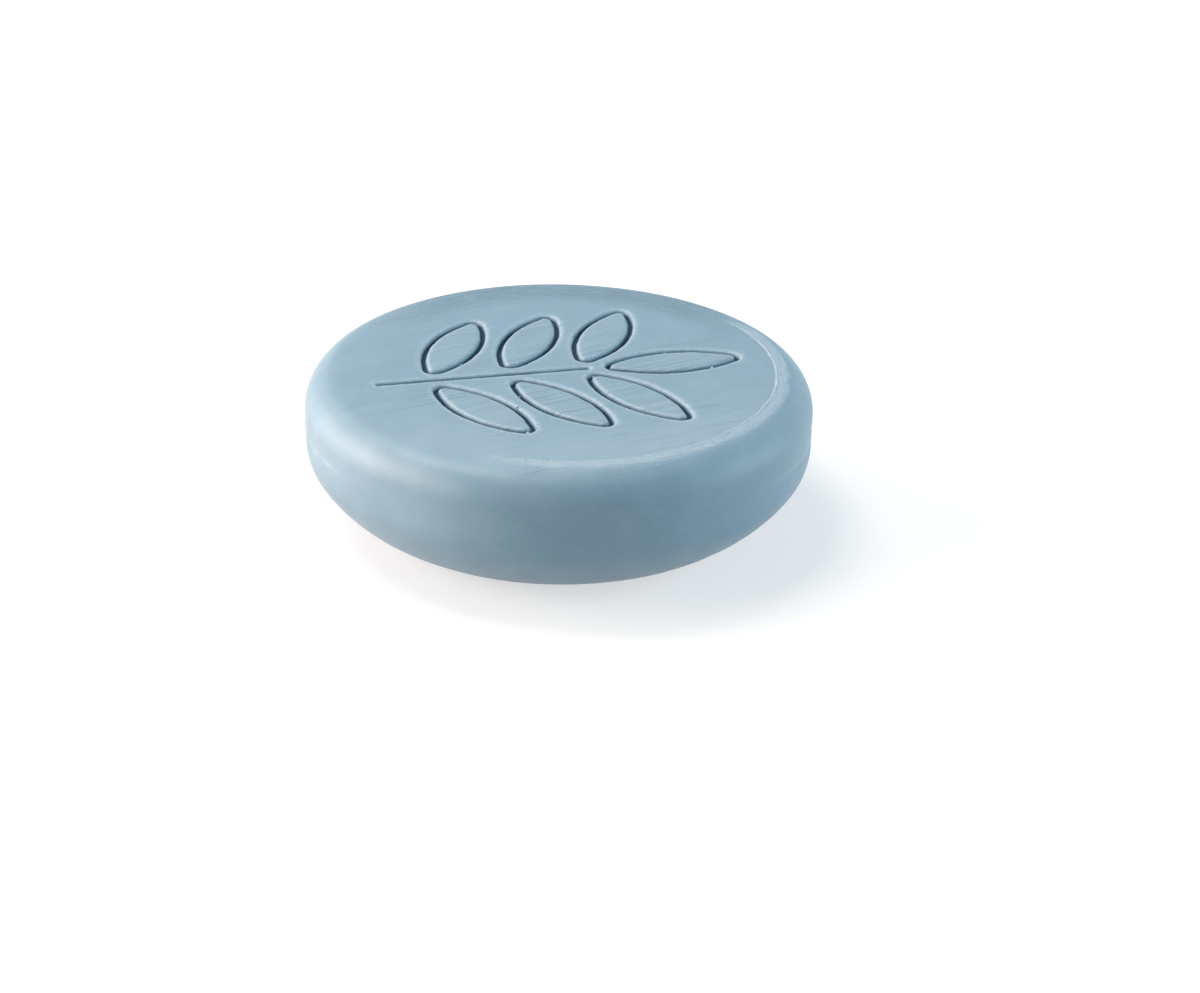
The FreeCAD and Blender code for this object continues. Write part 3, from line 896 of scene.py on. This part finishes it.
def soap_material(finish, turn):
    """Satin pressed soap: a thin soft gloss, less of it on the face and none in the cuts."""
    recipe = Recipe(bpy.data.materials.new("pressed_soap"))
    field = soap_fields(recipe, turn)
    gloss = (1 - recipe.step(field.cut, 0.1, 0.5)) * (1 - field.rear * 0.5 - field.face * 0.4)
    shader = recipe.node("ShaderNodeBsdfPrincipled", {}, SCATTER | {
        "Base Color": soap_colour(recipe, field, finish), "Normal": soap_relief(recipe, field),
        "Roughness": 0.46 + field.speckle * 0.08 + field.dry * 0.2 + field.face * 0.12 + field.bottom * 0.3,
        "Subsurface Scale": 0.5 * MM, "Specular IOR Level": 0.5, "Sheen Weight": 0.04, "Sheen Roughness": 0.4,
        "Coat Weight": 0.52 * gloss, "Coat Roughness": 0.5, "Coat IOR": 1.5})
    return recipe.finish(shader)


def crumb_material(finish):
    """Dry crumbs of the same soap, paler than the bar."""
    recipe = Recipe(bpy.data.materials.new("soap_crumb"))
    lumps = recipe.noise(recipe.place(), 4.0 / MM)
    body = recipe.mix(lumps * 0.4, with_alpha(finish.crumb), with_alpha(finish.soap))
    bump = recipe.node("ShaderNodeBump", {}, {"Height": lumps, "Distance": 0.04 * MM, "Strength": 1.0})
    shader = recipe.node("ShaderNodeBsdfPrincipled", {}, SCATTER | {
        "Base Color": body, "Roughness": 0.7, "Normal": bump, "Subsurface Scale": 0.2 * MM})
    return recipe.finish(shader)


def floor_material(colour):
    """A pale floor that the camera sees as white where nothing shades it."""
    recipe = Recipe(bpy.data.materials.new("studio_floor"))
    diffuse = recipe.node("ShaderNodeBsdfDiffuse", {}, {"Color": with_alpha(colour)})
    glow = recipe.node("ShaderNodeEmission", {}, {"Color": WHITE, "Strength": FLOOR_GLOW})
    both = recipe.node("ShaderNodeAddShader", {}, {0: diffuse, 1: glow})
    return recipe.finish(recipe.node("ShaderNodeMixShader", {}, {0: recipe.seen(), 1: diffuse, 2: both}))


# Objects and the stage

def add_object(name, data):
    """A new object in the scene, at the origin."""
    item = bpy.data.objects.new(name, data)
    bpy.context.scene.collection.objects.link(item)
    return item


def add_piece(name, mesh, material):
    """A piece of the bar, riding with the solid."""
    mesh.materials.append(material)
    piece = add_object(name, mesh)
    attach(piece, "root")
    return piece


FLOOR_HALF = 0.45
LAMP_TARGET = Vector((0.0, 0.0, 0.012))
# Name, settings for its power and tint, its two sizes, its bearing from the camera's right and its angle above
# the floor in degrees, and its distance
LAMPS = (
    ("key_lamp", "key", "warm_colour", (0.5, 0.4), 191, 18, 0.7),
    ("edge_lamp", "edge", "warm_colour", (0.4, 0.5), 160, 17, 0.7),
    ("top_lamp", "top", "top_colour", (0.5, 0.5), 150, 66, 0.9),
    ("rim_lamp", "rim", "cool_colour", (0.3, 0.5), 4, 15, 0.8),
    ("front_lamp", "front", "cool_colour", (0.6, 0.5), -28, 16, 0.9),
)
# The middle of the face in the view, in the photograph's pixels to the right of its middle and above it
VIEW_CENTRE = (-40.27, 127.85)
FOCAL_PIXELS = 3158.3
SENSOR_WIDTH = 36.0
NEAR, FAR = 0.01, 50.0


def make_floor(stage):
    """A square of floor under the bar, no larger than the lamps light."""
    mesh = bpy.data.meshes.new("studio_floor")
    corners = [(FLOOR_HALF * x, FLOOR_HALF * y, 0.0) for x, y in ((-1, -1), (1, -1), (1, 1), (-1, 1))]
    mesh.from_pydata(corners, [], [(0, 1, 2, 3)])
    mesh.materials.append(floor_material(stage.floor))
    floor = add_object("studio_floor", mesh)


def make_lamps(stage):
    """Soft lamps that look at the bar, and go round it with the camera."""
    for name, power, tint, sizes, bearing, rise, distance in LAMPS:
        light = bpy.data.lights.new(name, "AREA")
        light.shape = "RECTANGLE"
        light.size, light.size_y = sizes
        light.energy, light.color = getattr(stage, power), getattr(stage, tint)
        lamp = add_object(name, light)
        angle, level = math.radians(bearing) + stage.turn, math.cos(math.radians(rise))
        way = Vector((level * math.cos(angle), level * math.sin(angle), math.sin(math.radians(rise))))
        lamp.location = LAMP_TARGET + distance * way
        lamp.rotation_euler = way.to_track_quat("Z", "Y").to_euler()


def make_surroundings(scene, stage):
    """Even pale light all round, seen as white."""
    recipe = Recipe(bpy.data.worlds.new("studio"))
    dim = recipe.node("ShaderNodeBackground", {}, {
        "Color": with_alpha(stage.ambient_colour), "Strength": stage.ambient})
    white = recipe.node("ShaderNodeBackground", {}, {"Color": WHITE, "Strength": 1.0})
    both = recipe.node("ShaderNodeMixShader", {}, {0: recipe.seen(), 1: dim, 2: white})
    scene.world = recipe.finish(both, "ShaderNodeOutputWorld")


def make_camera(scene, stage):
    """A camera that looks down by the pitch, with the middle of the face where the photograph has it."""
    forward = Vector((0.0, math.cos(stage.pitch), -math.sin(stage.pitch)))
    level = Vector((1.0, 0.0, 0.0))
    upright = level.cross(forward)
    right = math.cos(stage.roll) * level + math.sin(stage.roll) * upright
    above = math.cos(stage.roll) * upright - math.sin(stage.roll) * level
    shift = VIEW_CENTRE[0] * right + VIEW_CENTRE[1] * above
    top = Vector((0.0, 0.0, HIGH_CORNER[2]))
    matrix = Matrix((right, above, -forward)).transposed().to_4x4()
    matrix.translation = top - stage.distance * (forward + shift / FOCAL_PIXELS)
    data = bpy.data.cameras.new("studio_camera")
    data.sensor_width, data.lens = SENSOR_WIDTH, stage.lens
    data.clip_start, data.clip_end = NEAR, FAR
    camera = add_object("studio_camera", data)
    camera.matrix_world = Matrix.Rotation(stage.turn, 4, "Z") @ matrix
    scene.camera = camera


# Operators and panel

class SOAP_OT_press_bar(bpy.types.Operator):
    """Makes the bar with its engraved face, in place of the plain solid"""

    bl_idname = "soap.press_bar"
    bl_label = "Press the bar"

    def execute(self, context):
        scene = context.scene
        size, sprig, turn = scene.soap_bar_sizes, scene.soap_sprig_sizes, scene.soap_stage.turn
        shell = Shell()
        fill_face(shell, size, sprig, turn)
        turn_side(shell, size, turn)
        mesh = make_mesh("soap_bar_dressed", shell, size.height)
        mark_surface(mesh, sprig, size, turn)
        piece = add_piece("soap_bar_dressed", mesh, soap_material(scene.soap_finish, turn))
        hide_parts(NODE)
        return {"FINISHED"}


class SOAP_OT_scatter_crumbs(bpy.types.Operator):
    """Makes the crumbs on the lip and beside the cut lines"""

    bl_idname = "soap.scatter_crumbs"
    bl_label = "Scatter the crumbs"

    def execute(self, context):
        scene = context.scene
        shell = Shell()
        make_lumps(shell, scene.soap_sprig_sizes, scene.soap_stage.turn)
        mesh = make_mesh("soap_crumbs", shell, scene.soap_bar_sizes.height)
        add_piece("soap_crumbs", mesh, crumb_material(scene.soap_finish))
        return {"FINISHED"}


class SOAP_OT_set_stage(bpy.types.Operator):
    """Makes the floor, the lamps, the surroundings and the camera"""

    bl_idname = "soap.set_stage"
    bl_label = "Set the stage"

    def execute(self, context):
        scene = context.scene
        stage = scene.soap_stage
        make_floor(stage)
        make_lamps(stage)
        make_surroundings(scene, stage)
        make_camera(scene, stage)
        scene.view_settings.view_transform = "Standard"
        return {"FINISHED"}


class SOAP_PT_panel(bpy.types.Panel):
    """Lists the steps and the sizes that they use"""

    bl_idname = "SOAP_PT_panel"
    bl_label = "Pressed soap"
    bl_space_type = "VIEW_3D"
    bl_region_type = "UI"
    bl_category = "Soap"

    def draw(self, context):
        for operator in OPERATORS:
            self.layout.operator(operator.bl_idname)
        for name, group in SETTINGS.items():
            settings = getattr(context.scene, name)
            for field in group.__annotations__:
                self.layout.prop(settings, field)


SETTINGS = {
    "soap_bar_sizes": BarSizes,
    "soap_sprig_sizes": SprigSizes,
    "soap_finish": SoapFinish,
    "soap_stage": StageSettings,
}
OPERATORS = (SOAP_OT_press_bar, SOAP_OT_scatter_crumbs, SOAP_OT_set_stage)
CLASSES = (*SETTINGS.values(), *OPERATORS, SOAP_PT_panel)


def register():
    """Makes the steps, their settings and the panel known to Blender."""
    for entry in CLASSES:
        bpy.utils.register_class(entry)
    for name, group in SETTINGS.items():
        setattr(bpy.types.Scene, name, PointerProperty(type=group))


def unregister():
    """Takes them away again."""
    for name in SETTINGS:
        delattr(bpy.types.Scene, name)
    for entry in reversed(CLASSES):
        bpy.utils.unregister_class(entry)


def main():
    """Takes every step in order."""
    register()
    bpy.ops.soap.press_bar()
    bpy.ops.soap.scatter_crumbs()
    bpy.ops.soap.set_stage()


if __name__ == "__main__":
    main()
